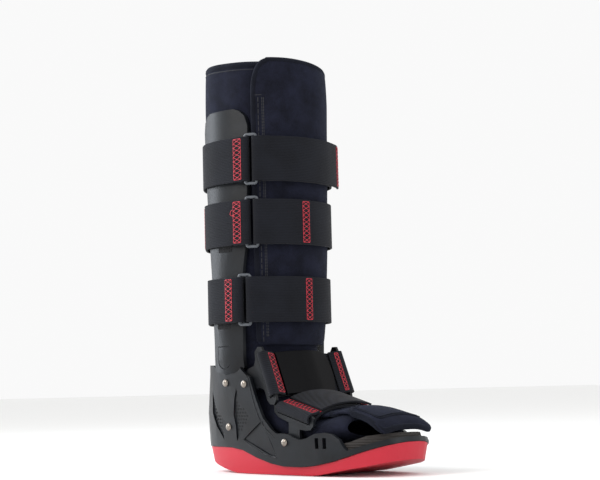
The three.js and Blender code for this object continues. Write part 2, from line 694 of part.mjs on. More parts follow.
// The tongue is the upright's lower end, riveted inside the shell wall
const TONGUE_HALF = UPRIGHT_BACK - 4;
const tongueTop = SHELL_TOP + TONGUE_DEPTH / 2;
function tongueRing(z) {
  const line = (drawn) =>
    Array.from({ length: UPRIGHT_COLUMNS + 1 }, (_, i) => {
      const x = mix(-TONGUE_HALF, TONGUE_HALF, i / UPRIGHT_COLUMNS);
      return at(x, -wallY(x, z) + SHELL_WALL + 3 * CLEARANCE + drawn, z);
    });
  return [...line(0), ...line(TONGUE_THICKNESS).reverse()];
}
const tongueRings = [
  ...[SHELL_TOP - TONGUE_DEPTH, SHELL_TOP - TONGUE_DEPTH / 2, SHELL_TOP - 3].map(tongueRing),
  ...[SHELL_TOP + 2, tongueTop].map((z) =>
    uprightRing(z, TONGUE_HALF, TONGUE_HALF, uprightHalf(z) - UPRIGHT_THICKNESS + CLEARANCE, TONGUE_THICKNESS),
  ),
];
const tab = [
  [TAB_CENTRE_X - TAB_WIDTH / 2, TAB_TOP],
  [TAB_CENTRE_X + TAB_WIDTH / 2, TAB_TOP],
  ...Array.from({ length: 9 }, (_, i) => {
    const angle = -Math.PI * (i / 8);
    return [TAB_CENTRE_X + (TAB_WIDTH / 2) * Math.cos(angle),
      TAB_TOP - TAB_HEIGHT + TAB_WIDTH / 2 + (TAB_WIDTH / 2) * Math.sin(angle)];
  }),
];
const TAB_GROOVE = 1; // the tab stands in a groove of this depth and width

// Hook patches sit in shallow pockets of the upright
const PATCH_STRAPS = LEG_STRAPS.filter((strap) => strap.name !== "top");
const patchPlaces = PATCH_STRAPS.map((strap, i) => ({
  name: strap.name,
  back: -(i ? -8 : -4),
  front: (i ? -8 : -4) + PATCH_WIDTH,
  low: strap.height - WEBBING_WIDTH / 2 - PATCH_DROP,
  high: strap.height,
}));
const POCKET_OPEN = 2; // the pocket's cutter starts this far outside the upright
const patchRings = (place, grow, sunk, thickness) =>
  [place.low - grow, (place.low + place.high) / 2, place.high + grow].map((z) =>
    uprightRing(z, place.front + grow, place.back + grow, uprightHalf(z) - sunk, thickness),
  );

for (const side of SIDES) {
  let body = solidOf(skin(uprightRings)).add(solidOf(skin(tongueRings)));
  for (const place of patchPlaces) {
    const pocket = skin(patchRings(place, CLEARANCE, -POCKET_OPEN, PATCH_THICKNESS + CLEARANCE + POCKET_OPEN));
    body = body.subtract(solidOf(pocket));
    const patch = skin(patchRings(place, 0, 0, PATCH_THICKNESS));
    put("hook_patch_" + place.name + "_" + side.name, onSide(patch, side), "patch");
  }
  const tabMiddle = TAB_TOP - TAB_HEIGHT / 2;
  const widen = 1 + (2 * TAB_GROOVE) / TAB_WIDTH;
  const grooveOuter = tab.map(([x, z]) => [
    TAB_CENTRE_X + (x - TAB_CENTRE_X) * widen,
    tabMiddle + (z - tabMiddle) * widen,
  ]);
  const grooveFloor = -uprightHalf(TAB_TOP) + TAB_GROOVE;
  const groove = solidOf(sidePlate(grooveOuter, -SHELL_TOP_HALF - BEYOND, grooveFloor, [tab]));
  const hole = crossPin(RIVETS[0].x, RIVETS[0].z, RIVET_SHANK / 2 + CLEARANCE, -SHELL_TOP_HALF, -PIN_DEEP);
  const upright = geometryOf(body.subtract(groove).subtract(solidOf(hole)));
  put("upright_" + side.name, onSide(upright, side), "shell");
}

// A closed track drawn tightly round obstacles in a plane, as webbing under tension lies
const TRACK_STEP = 5; // degrees
function tightTrack(obstacles) {
  const points = [];
  for (let degrees = 0; degrees < 360; degrees += TRACK_STEP) {
    const away = new THREE.Vector2(Math.cos(radians(degrees)), Math.sin(radians(degrees)));
    const furthest = obstacles.reduce((best, p) => (p.dot(away) > best.dot(away) ? p : best));
    points.push(furthest.clone().addScaledVector(away, CLEARANCE));
  }
  const lengths = [0];
  points.forEach((p, i) => lengths.push(lengths[i] + p.distanceTo(points[(i + 1) % points.length])));
  const length = lengths.at(-1);
  const pointAt = (s) => {
    const place = ((s % length) + length) % length;
    const i = Math.max(0, lengths.findIndex((l) => l > place) - 1);
    const share = (place - lengths[i]) / (lengths[i + 1] - lengths[i]);
    return points[i].clone().lerp(points[(i + 1) % points.length], share);
  };
  // Outward normal, evened out over a short stretch
  const normalAt = (s) => {
    const along = pointAt(s + 4).sub(pointAt(s - 4)).normalize();
    return new THREE.Vector2(along.y, -along.x);
  };
  return {
    length,
    normalAt,
    lifted: (s, offset) => pointAt(s).addScaledVector(normalAt(s), offset),
    placeOf: (score) => {
      const places = Array.from({ length: 400 }, (_, i) => (i / 400) * length);
      return places.reduce((best, s) => (score(pointAt(s)) < score(pointAt(best)) ? s : best));
    },
  };
}

// Places along a track from one offset to another
function stretch(track, from, to, offsetFrom, offsetTo, step = 8) {
  const count = Math.max(2, Math.ceil(Math.abs(to - from) / step) + 1);
  return Array.from({ length: count }, (_, i) => {
    const share = i / (count - 1);
    return track.lifted(mix(from, to, share), mix(offsetFrom, offsetTo, share));
  });
}

// Half a turn of webbing round a bar, without its two ends
const LOOP_STEPS = 5;
function halfTurn(centre, start, through, radius) {
  return Array.from({ length: LOOP_STEPS - 1 }, (_, i) => {
    const angle = (Math.PI * (i + 1)) / LOOP_STEPS;
    const [cos, sin] = [Math.cos(angle), Math.sin(angle)];
    return centre.clone().addScaledVector(start, radius * cos).addScaledVector(through, radius * sin);
  });
}

// Webbing along points of a plane. place turns a point of the plane and a distance across it into space.
function ribbon(points, thickness, width, place, roundEnd = 0) {
  const clean = points.filter((p, i) => i === 0 || p.distanceTo(points[i - 1]) > 0.4);
  const rings = clean.map((p, i) => {
    const along = (clean[i + 1] || p).clone().sub(clean[i - 1] || p).normalize();
    const across = new THREE.Vector2(along.y, -along.x).multiplyScalar(thickness / 2);
    const left = clean.slice(i).reduce((sum, q, k, list) => (k ? sum + q.distanceTo(list[k - 1]) : 0), 0);
    const into = Math.max(0, roundEnd - left);
    const short = roundEnd - Math.sqrt(roundEnd ** 2 - into ** 2);
    const half = width / 2 - Math.min(short, width / 2 - 1);
    const outer = p.clone().add(across);
    const inner = p.clone().sub(across);
    return [place(outer, -half), place(outer, half), place(inner, half), place(inner, -half)];
  });
  return skin(rings);
}

const RING_CORNER = 3;
const BAR_ROUND = 0.8; // edge rounding of the ring's bars
const ringBarReach = (Math.SQRT2 * (RING_BAR - BAR_ROUND)) / 2 + BAR_ROUND / 2;
const webHalf = WEBBING_THICKNESS / 2;
const TRACK_SLACK = 0.9; // for the flat faces between a ribbon's points
const innerOffset = CLEARANCE + TRACK_SLACK + webHalf; // centre of the layer that lies on the leg
const loopRadius = ringBarReach + CLEARANCE + webHalf;
const barOffset = innerOffset + loopRadius;
const outerOffset = barOffset + loopRadius;
const foldedOffset = innerOffset + WEBBING_THICKNESS + CLEARANCE + 0.2;
const STITCHED_FOLD = 12;
const barSpread = (RING_WIDTH - RING_BAR) / 2;

const inPlan = (p) => new THREE.Vector2(p.x, p.y);

function legObstacles(strap) {
  const heights = [-0.5, -0.25, 0, 0.25, 0.5].map((share) => strap.height + share * WEBBING_WIDTH);
  return heights.flatMap((z) => {
    const oval = legOval(z);
    const section = { top: at(oval.front, 0, z), sole: at(-oval.back, 0, z), half: oval.half };
    const share = (z - SHELL_TOP) / (UPRIGHT_TOP - SHELL_TOP);
    const front = UPRIGHT_FRONT * read(UPRIGHT_EDGES, "height", share, "front");
    const back = UPRIGHT_BACK * read(UPRIGHT_EDGES, "height", share, "back");
    const bar = uprightRing(z, front, back, uprightHalf(z), UPRIGHT_THICKNESS).slice(0, UPRIGHT_COLUMNS + 1);
    const offset = FLAP_SEAT + FLAP_THICKNESS;
    const flap = legFlapAngles.map((a) => sectionPoint(section, sectionAngle(section, a), offset));
    const leg = linerRing(section, 0);
    return [...bar, ...bar.map((p) => at(p.x, -p.y, p.z)), ...flap, ...leg].map(inPlan);
  });
}

function ringFrame() {
  const [w, h] = [RING_WIDTH / 2 - BAR_ROUND, WEBBING_WIDTH / 2 + RING_BAR + 0.6 - BAR_ROUND];
  const corner = RING_CORNER;
  const shape = new THREE.Shape();
  shape.moveTo(-w + corner, -h);
  shape.lineTo(w - corner, -h);
  shape.quadraticCurveTo(w, -h, w, -h + corner);
  shape.lineTo(w, h - corner);
  shape.quadraticCurveTo(w, h, w - corner, h);
  shape.lineTo(-w + corner, h);
  shape.quadraticCurveTo(-w, h, -w, h - corner);
  shape.lineTo(-w, -h + corner);
  shape.quadraticCurveTo(-w, -h, -w + corner, -h);
  const [iw, ih] = [w - RING_BAR + 2 * BAR_ROUND, h - RING_BAR + 2 * BAR_ROUND];
  const window = [[-iw, -ih], [-iw, ih], [iw, ih], [iw, -ih]];
  shape.holes.push(new THREE.Path(window.map((corner) => new THREE.Vector2(...corner))));
  return new THREE.ExtrudeGeometry(shape, {
    depth: RING_BAR - 2 * BAR_ROUND,
    bevelThickness: BAR_ROUND,
    bevelSize: BAR_ROUND,
    bevelSegments: 1,
    curveSegments: 3,
  }).translate(0, 0, -RING_BAR / 2 + BAR_ROUND);
}

for (const strap of LEG_STRAPS) {
  const track = tightTrack(legObstacles(strap));
  const angleFrom = (degrees) => (p) => Math.abs(Math.atan2(p.y, p.x) - radians(degrees));
  const ring = track.placeOf(angleFrom(strap.ringAngle));
  const end = track.placeOf(angleFrom(strap.endAngle)) + (strap.endAngle < strap.ringAngle ? track.length : 0);
  const endPlace = end < ring ? end + track.length : end;
  const normal = track.normalAt(ring);
  const tangent = new THREE.Vector2(-normal.y, normal.x);
  const centre = track.lifted(ring, barOffset);
  const backBar = centre.clone().addScaledVector(tangent, -barSpread);
  const frontBar = centre.clone().addScaledVector(tangent, barSpread);
  const back = ring - barSpread;
  const front = ring + barSpread;
  const inward = normal.clone().negate();
  const endOffset = foldedOffset + strap.lift;
  const points = [
    ...stretch(track, back - STITCHED_FOLD, back - 2, innerOffset, innerOffset, 5),
    backBar.clone().addScaledVector(normal, -loopRadius),
    ...halfTurn(backBar, inward, tangent, loopRadius),
    backBar.clone().addScaledVector(normal, loopRadius),
    ...stretch(track, back - 3, back - STITCHED_FOLD - 3, outerOffset, foldedOffset + 1.2, 5),
    ...stretch(track, back - 2 * STITCHED_FOLD, back - 5 * STITCHED_FOLD, foldedOffset, innerOffset),
    ...stretch(track, back - 6 * STITCHED_FOLD, front + 2 - track.length, innerOffset, innerOffset),
    frontBar.clone().addScaledVector(normal, -loopRadius),
    ...halfTurn(frontBar, inward, tangent.clone().negate(), loopRadius),
    frontBar.clone().addScaledVector(normal, loopRadius),
    ...stretch(track, front + 3, front + STITCHED_FOLD, outerOffset, foldedOffset, 4),
    ...stretch(track, front + 1.6 * STITCHED_FOLD, endPlace - 2 * STITCHED_FOLD, foldedOffset, foldedOffset),
    ...stretch(track, endPlace - STITCHED_FOLD, endPlace, endOffset - strap.lift / 2, endOffset),
  ];
  const place = (p, across) => at(p.x, p.y, strap.height + across);
  put("strap_" + strap.name, ribbon(points, WEBBING_THICKNESS, WEBBING_WIDTH, place), "webbing");
  const frame = ringFrame();
  const turn = new THREE.Matrix4();
  turn.makeBasis(at(tangent.x, tangent.y, 0), at(0, 0, 1), at(normal.x, normal.y, 0));
  frame.applyMatrix4(turn).translate(centre.x, centre.y, strap.height);
  put("ring_" + strap.name, frame, "ring");
}

// Brackets: plates riveted inside the shell wall, each with a slot whose outer bar carries a strap.
// Outlines are in side view; the slot runs from its back or upper end to its front or lower end.
const SLOT_WIDE = 4.6;
const SLOT_BAR = 3;
const BRACKETS = [
  {
    name: "ankle",
    rivet: RIVETS[1],
    slot: [[42.6, 118], [60.4, 74.6]],
    face: wallY(RIVETS[1].x, RIVETS[1].z) - SHELL_WALL - 2 * CLEARANCE, // the outer face's half width there
    lean: 3, // how far the plate steps in between its rivet and its strap bar
    leanRun: 13.5,
    outline: [[24, 96], [24, 84], [31, 80.5], [44, 84.5], [50, 82], [54, 72], [58, 68], [63.5, 67.5], [67, 72],
      [66, 77], [48.8, 120], [46.5, 124.5], [41.5, 124.5], [38, 120], [38.5, 112], [37, 106], [30, 103]],
  },
  {
    name: "forefoot",
    rivet: RIVETS[3],
    slot: [[65.1, 62.1], [108.9, 49.7]],
    face: bracketFace,
    lean: 0,
    leanRun: 1,
    outline: [[BRACKET_FOOT_BACK, BRACKET_FOOT_LOW], [BRACKET_FOOT_FRONT, BRACKET_FOOT_LOW], [95.2, 33],
      [94.6, 43.6], [104, 42.6], [109.5, 43], [113.5, 46.5], [114, 53.5], [111.3, 56.2], [107.6, 56.6],
      [65.6, 68.6], [62, 69.4], [59.5, 67], [60, 60.5], [66, 55.5], [80, 50.5], [79.5, 40], [71, 36]],
  },
];

// Where a strap bar lies, with its own directions: along the webbing's width and away from the foot
function barOf(bracket) {
  const [start, stop] = bracket.slot.map(([x, z]) => at(x, 0, z));
  const wide = stop.clone().sub(start).normalize();
  const away = at(-wide.z, 0, wide.x);
  const middle = start.clone().add(stop).multiplyScalar(0.5);
  middle.addScaledVector(away, (SLOT_WIDE + SLOT_BAR) / 2);
  const faceY = bracket.face - bracket.lean;
  return { middle, wide, away, half: faceY - BRACKET_THICKNESS / 2, distance: middle.dot(away) };
}

for (const bracket of BRACKETS) {
  const { wide, away } = barOf(bracket);
  const ends = bracket.slot.map(([x, z]) => at(x, 0, z));
  const corner = (end, side) => end.clone().addScaledVector(away, (side * SLOT_WIDE) / 2);
  const corners = [[0, -1], [1, -1], [1, 1], [0, 1]].map(([end, side]) => corner(ends[end], side));
  const slot = corners.map((p) => [p.x, p.z]);
  for (const side of SIDES) {
    const plate = sidePlate(bracket.outline, -bracket.face, -bracket.face + BRACKET_THICKNESS, [slot]);
    reshaped(plate, (p) => {
      p.y += bracket.lean * Math.min(1, Math.max(0, p.x - bracket.rivet.x) / bracket.leanRun);
    });
    const { x, z } = bracket.rivet;
    const hole = crossPin(x, z, RIVET_SHANK / 2 + CLEARANCE, -SHELL_TOP_HALF, -PIN_DEEP);
    const drilled = geometryOf(solidOf(plate).subtract(solidOf(hole)));
    put(bracket.name + "_bracket_" + side.name, onSide(drilled, side), "shell");
  }
}

// Domed rivets through the shell wall
const RIVET_DOME = 2.2;
const rivetLength = SHELL_WALL + BRACKET_THICKNESS + 1;
for (const rivet of RIVETS) {
  const reach = RIVET_HEAD / 3;
  const corners = [[-reach, -reach], [-reach, reach], [reach, -reach], [reach, reach]];
  const rim = corners.map(([i, j]) => [rivet.x + i, rivet.z + j]);
  const seat = Math.max(...rim.map(([x, z]) => wallY(x, z))) + CLEARANCE;
  const [shank, head] = [RIVET_SHANK / 2, RIVET_HEAD / 2];
  const profile = [[0, -rivetLength], [shank, -rivetLength], [shank, 0], [head, 0],
    [0.92 * head, 0.36 * RIVET_DOME], [0.6 * head, 0.77 * RIVET_DOME], [0, RIVET_DOME]];
  for (const side of SIDES) {
    const turned = new THREE.LatheGeometry(profile.map(([r, h]) => new THREE.Vector2(r, h)), RIVET_SIDES);
    turned.rotateX(Math.PI / 2);
    reshaped(turned, (p) => p.set(p.x + rivet.x, -p.z - seat, -p.y + rivet.z));
    put("rivet_" + rivet.name + "_" + side.name, onSide(geometryOf(facingOut(turned)), side), "rivet");
  }
}

// A solid that faces outwards, whichever way its geometry was turned
function facingOut(geometry) {
  const bare = geometry.clone();
  bare.deleteAttribute("normal");
  bare.deleteAttribute("uv");
  const merged = mergeVertices(bare, 1e-4);
  return solidOf(signedVolume(merged) < 0 ? turnedInsideOut(merged) : merged);
}

// Straps over the foot, each drawn from bar to bar over what lies under it
const slotBarReach = Math.hypot(SLOT_BAR, BRACKET_THICKNESS) / 2;
const LOOP_SLACK = 1.3; // room round a bar for the loop's flat faces
const footLoop = slotBarReach + CLEARANCE + LOOP_SLACK + webHalf;
const FOLD_RISE = 2.2; // the folded end comes off its bar this far above where it lies
const STRAIGHT = 9; // webbing runs straight over this length from a bar
const TOP_SLACK = 0.5; // for the flat faces of the layer on top
const FOOT_STRAPS = [
  { name: "ankle", bracket: BRACKETS[0], under: [0, 7], lean: 14, fold: 12.5, topName: "ankle_strap_cover",
    topThickness: COVER_THICKNESS, topEnd: 0.17, round: 12, lift: 0 },
  { name: "forefoot", bracket: BRACKETS[1], under: [8, 10], lean: 25, fold: 14, topName: "forefoot_strap_outer",
    topThickness: WEBBING_THICKNESS, topEnd: 0.2, round: 0, lift: 2 },
];

function footObstacles(bar, first, last) {
  const flat = (p) => new THREE.Vector2(p.y, p.dot(bar.away));
  const points = [];
  for (let i = first; i <= last; i++) {
    const section = footSection(FOOT_SECTIONS[i]);
    points.push(...linerRing(section, 0).map(flat));
    if (i >= TOE_FLAP_FIRST) points.push(...toeFlapRing(section).slice(0, TOE_FLAP_STEPS + 1).map(flat));
  }
  return points;
}

for (const strap of FOOT_STRAPS) {
  const bar = barOf(strap.bracket);
  const barAt = (sign) => new THREE.Vector2(sign * bar.half, bar.distance);
  const out = (sign) => new THREE.Vector2(sign * Math.sin(radians(strap.lean)), Math.cos(radians(strap.lean)));
  const seat = (sign) => barAt(sign).addScaledVector(out(sign), -footLoop - innerOffset - CLEARANCE);
  const track = tightTrack([...footObstacles(bar, ...strap.under), seat(1), seat(-1)]);
  const place = (p, across) =>
    at(0, p.x, 0)
      .addScaledVector(bar.away, p.y)
      .addScaledVector(bar.wide, bar.middle.dot(bar.wide) + across);
  const far = track.placeOf((p) => p.distanceTo(seat(1)));
  let near = track.placeOf((p) => p.distanceTo(seat(-1)));
  if (near < far) near += track.length;
  const turn = (sign) => {
    const start = out(sign).negate();
    return [
      barAt(sign).addScaledVector(out(sign), -footLoop),
      ...halfTurn(barAt(sign), start, new THREE.Vector2(sign * out(sign).y, -sign * out(sign).x), footLoop),
      barAt(sign).addScaledVector(out(sign), footLoop),
    ];
  };
  const points = [
    ...stretch(track, far + strap.fold, far + STRAIGHT, foldedOffset, foldedOffset + FOLD_RISE),
    ...turn(1).reverse(),
    ...stretch(track, far + STRAIGHT, near - STRAIGHT, innerOffset, innerOffset),
    ...turn(-1),
    ...stretch(track, near - STRAIGHT, near - strap.fold, foldedOffset + FOLD_RISE, foldedOffset),
  ];
  put(strap.name + "_strap", ribbon(points, WEBBING_THICKNESS, WEBBING_WIDTH, place), "webbing");
  const topOffset = innerOffset + webHalf + CLEARANCE + TOP_SLACK + strap.topThickness / 2;
  const topStart = near - strap.fold - 2;
  const topStop = mix(far, near, strap.topEnd);
  const top = stretch(track, topStart, topStop, topOffset, topOffset + strap.lift, strap.round ? 5 : 7);
  put(strap.topName, ribbon(top, strap.topThickness, WEBBING_WIDTH, place, strap.round), "webbing");
}

export default group;
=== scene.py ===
# Tall medical walking boot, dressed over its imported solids. Metres, +X to the toe, +Z up the leg.
import math

import bpy
from mathutils import Matrix, Vector, noise
from mathutils.bvhtree import BVHTree


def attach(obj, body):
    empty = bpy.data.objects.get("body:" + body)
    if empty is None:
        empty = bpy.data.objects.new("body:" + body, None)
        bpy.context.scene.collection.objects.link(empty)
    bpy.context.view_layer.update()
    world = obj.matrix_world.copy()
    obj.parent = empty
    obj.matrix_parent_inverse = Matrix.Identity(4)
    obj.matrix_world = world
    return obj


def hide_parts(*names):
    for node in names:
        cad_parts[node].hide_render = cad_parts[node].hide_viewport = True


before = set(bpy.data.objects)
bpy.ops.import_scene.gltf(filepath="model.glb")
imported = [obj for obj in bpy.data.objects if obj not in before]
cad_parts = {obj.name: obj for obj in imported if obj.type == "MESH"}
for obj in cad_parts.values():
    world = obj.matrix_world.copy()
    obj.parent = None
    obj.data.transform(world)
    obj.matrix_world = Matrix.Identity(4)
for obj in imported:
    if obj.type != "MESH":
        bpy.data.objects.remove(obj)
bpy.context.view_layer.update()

# Studio: the camera stands low in front of the boot's lateral side, a little above the sole,
# with a long lens. The leg leans a little to the left in the view, so the camera is rolled.
AZIMUTH = math.radians(46)
FRAME_WIDTH, FRAME_HEIGHT = 600, 480
FOCAL_PIXELS = 1451
HORIZON_ROW = 388
ORIGIN_AT = (271.5, 470.5)
PITCH = math.atan((HORIZON_ROW - FRAME_HEIGHT / 2) / FOCAL_PIXELS)
ROLL = math.radians(1.4)
STAND_OFF = 1.5
SENSOR = 36

ahead = Vector((-math.sin(AZIMUTH), math.cos(AZIMUTH), 0))
beside = Vector((math.cos(AZIMUTH), math.sin(AZIMUTH), 0))
up = Vector((0, 0, 1))
look = ahead * math.cos(PITCH) + up * math.sin(PITCH)
lift = up * math.cos(PITCH) - ahead * math.sin(PITCH)
image_right = beside * math.cos(ROLL) - lift * math.sin(ROLL)
image_up = lift * math.cos(ROLL) + beside * math.sin(ROLL)
to_origin = (
    look
    + image_right * ((ORIGIN_AT[0] - FRAME_WIDTH / 2) / FOCAL_PIXELS)
    + image_up * ((FRAME_HEIGHT / 2 - ORIGIN_AT[1]) / FOCAL_PIXELS)
)
place = -STAND_OFF * to_origin / to_origin.dot(ahead)
turn = Matrix((image_right, image_up, -look)).transposed().to_4x4()
bpy.ops.object.select_all(action="DESELECT")
bpy.ops.object.camera_add(location=place, rotation=turn.to_euler())
camera = bpy.context.object
camera.name = "photo_camera"
camera.data.lens = FOCAL_PIXELS / FRAME_WIDTH * SENSOR
camera.data.sensor_width = SENSOR
camera.data.clip_start = 0.05
bpy.context.scene.camera = camera
bpy.context.scene.view_settings.view_transform = "Standard"

world = bpy.data.worlds.new("studio_air")
bpy.context.scene.world = world
world.use_nodes = True
world.node_tree.nodes["Background"].inputs["Color"].default_value = (1, 1, 1, 1)
world.node_tree.nodes["Background"].inputs["Strength"].default_value = 0.95


def softbox(name, place, size, power, tint):
    bpy.ops.object.light_add(type="AREA", location=place)
    lamp = bpy.context.object
    lamp.name = name
    lamp.rotation_euler = (Vector((0, 0, 0.2)) - Vector(place)).to_track_quat("-Z", "Y").to_euler()
    lamp.data.shape = "RECTANGLE"
    lamp.data.size, lamp.data.size_y = size
    lamp.data.energy = power
    lamp.data.color = tint


softbox("key_light", (-0.35, -1.9, 1.3), (0.9, 1.4), 26, (1, 0.98, 0.96))
softbox("fill_light", (1.9, 0.3, 0.9), (1.0, 1.4), 12, (0.95, 0.97, 1))
softbox("edge_light", (-1.2, -0.55, 0.7), (0.5, 1.4), 16, (0.86, 0.92, 1))


# Materials are made of nodes added one at a time, with colours given as sRGB hex values.
def shade(hex_value):
    parts = [int(hex_value[i:i + 2], 16) / 255 for i in (1, 3, 5)]
    return tuple(c / 12.92 if c <= 0.04045 else ((c + 0.055) / 1.055) ** 2.4 for c in parts) + (1,)


def add(material, kind, settings=None, **inputs):
    """A node with its settings, its inputs given as values or as another node's output socket."""
    step = material.node_tree.nodes.new(kind)
    for key, value in (settings or {}).items():
        setattr(step, key, value)
    for key, value in inputs.items():
        numbered = key[0] == "i" and key[1:].isdigit()
        socket = step.inputs[int(key[1:]) if numbered else key.replace("_", " ")]
        if isinstance(value, bpy.types.NodeSocket):
            material.node_tree.links.new(value, socket)
        else:
            socket.default_value = value
    return step


def new_material(name):
    material = bpy.data.materials.new(name)
    material.use_nodes = True
    material.node_tree.nodes.clear()
    return material


def finish_material(material, **inputs):
    shader = add(material, "ShaderNodeBsdfPrincipled", **inputs)
    add(material, "ShaderNodeOutputMaterial", Surface=shader.outputs["BSDF"])
    return material


bpy.ops.mesh.primitive_circle_add(vertices=96, radius=30, fill_type="NGON", location=(0, 0, -0.0005))
floor = bpy.context.object
floor.name = "studio_floor"
paper = new_material("pale_paper")
finish_material(paper, Base_Color=shade("#f4f4f3"), Roughness=0.9)
floor.data.materials.append(paper)


# The liner is a hollow boot of foam between two cloths, cut and sewn to shape, with its rim bound in tape.
# Its outside is navy brushed loop cloth, so that hook tape grips it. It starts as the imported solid,
# welded and rounded off, and gets the slight hollows of padding.
def deselect_all():
    bpy.ops.object.select_all(action="DESELECT")


def only(piece):
    deselect_all()
    piece.select_set(True)
    bpy.context.view_layer.objects.active = piece


def worked_copy(node, name, sharp=50, levels=2, smooth=40):
    """A node's mesh as a new piece: welded, its sharp edges kept and the rest rounded off."""
    piece = bpy.data.objects.new(name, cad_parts[node].data.copy())
    bpy.context.scene.collection.objects.link(piece)
    piece.data.materials.clear()
    only(piece)
    bpy.ops.mesh.customdata_custom_splitnormals_clear()
    bpy.ops.object.mode_set(mode="EDIT")
    bpy.ops.mesh.select_all(action="SELECT")
    bpy.ops.mesh.remove_doubles(threshold=0.00001)
    bpy.ops.mesh.tris_convert_to_quads(face_threshold=math.radians(60), shape_threshold=math.radians(60))
    if levels:
        bpy.ops.mesh.select_mode(type="EDGE")
        bpy.ops.mesh.select_all(action="DESELECT")
        bpy.ops.mesh.edges_select_sharp(sharpness=math.radians(sharp))
        bpy.ops.transform.edge_crease(value=1)
    bpy.ops.object.mode_set(mode="OBJECT")
    if levels:
        rounded = piece.modifiers.new("rounded", "SUBSURF")
        rounded.levels = rounded.render_levels = levels
        bpy.ops.object.modifier_apply(modifier=rounded.name)
    bpy.ops.object.shade_smooth_by_angle(angle=math.radians(smooth))
    return piece


def eased(piece, width, segments=2, angle=45):
    """Rounds a piece's edges."""
    only(piece)
    edge = piece.modifiers.new("eased", "BEVEL")
    edge.width = width
    edge.segments = segments
    edge.limit_method = "ANGLE"
    edge.angle_limit = math.radians(angle)
    edge.use_clamp_overlap = True
    bpy.ops.object.modifier_apply(modifier=edge.name)
    bpy.ops.object.shade_smooth_by_angle(angle=math.radians(50))
    return piece


def padded_skin(piece, depth, size, drawn=(1, 1, 1)):
    """Slight hollows and swellings, as foam under cloth has, in metres."""
    normals = [v.normal.copy() for v in piece.data.vertices]
    for vertex, normal in zip(piece.data.vertices, normals):
        spot = Vector((vertex.co.x * drawn[0], vertex.co.y * drawn[1], vertex.co.z * drawn[2])) / size
        vertex.co += normal * depth * noise.noise(spot)


def dressed(piece, material, slot, *nodes):
    piece.data.materials.clear()
    piece.data.materials.append(material)
    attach(piece, "root")
    if nodes:
        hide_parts(*nodes)
    return piece


# Brushed loop cloth, knitted polyester: navy, without gloss, with a soft nap that lightens its edges.
# The nap's loops are about 0.4 mm and are drawn at 0.8 mm, so that they show.
def loop_cloth(name, dark, light, nap=0.0008):
    cloth = new_material(name)
    where = add(cloth, "ShaderNodeTexCoord").outputs["Object"]
    patches = add(cloth, "ShaderNodeTexNoise", Vector=where, Scale=1 / 0.018, Detail=3.0, Roughness=0.6)
    loops = add(cloth, "ShaderNodeTexNoise", Vector=where, Scale=1 / nap, Detail=2.0, Roughness=0.7)
    joined = {"operation": "MULTIPLY_ADD"}
    both = add(cloth, "ShaderNodeMath", joined, i0=patches.outputs["Fac"], i1=0.55, i2=0.0)
    grains = add(cloth, "ShaderNodeMath", joined, i0=loops.outputs["Fac"], i1=0.45, i2=both.outputs[0])
    ramp = add(cloth, "ShaderNodeValToRGB", Fac=grains.outputs[0])
    ramp.color_ramp.elements[0].position = 0.36
    ramp.color_ramp.elements[0].color = shade(dark)
    ramp.color_ramp.elements[1].position = 0.66
    ramp.color_ramp.elements[1].color = shade(light)
    bump = add(cloth, "ShaderNodeBump", Height=loops.outputs["Fac"], Strength=0.5, Distance=0.0006)
    return finish_material(
        cloth, Base_Color=ramp.outputs["Color"], Roughness=0.95, Specular_IOR_Level=0.12,
        Sheen_Weight=0.08, Sheen_Roughness=0.5, Sheen_Tint=shade("#8f9cc0"), Normal=bump.outputs["Normal"],
    )


navy_cloth = loop_cloth("navy_brushed_loop_cloth", "#0b0c14", "#1a1c2a")
binding_tape = loop_cloth("navy_binding_tape", "#090a10", "#14161f", 0.0005)

liner = worked_copy("liner", "padded_liner", sharp=180)
padded_skin(liner, 0.0012, 0.03, (1, 1, 0.6))
dressed(liner, navy_cloth, "liner_cloth", "liner")

front_flap = worked_copy("leg_flap", "front_flap", sharp=180)
padded_skin(front_flap, 0.0012, 0.035)
dressed(front_flap, navy_cloth, "liner_cloth", "leg_flap")

instep_flap = worked_copy("toe_flap", "instep_flap", sharp=180)
padded_skin(instep_flap, 0.0012, 0.03)
dressed(instep_flap, navy_cloth, "liner_cloth", "toe_flap")


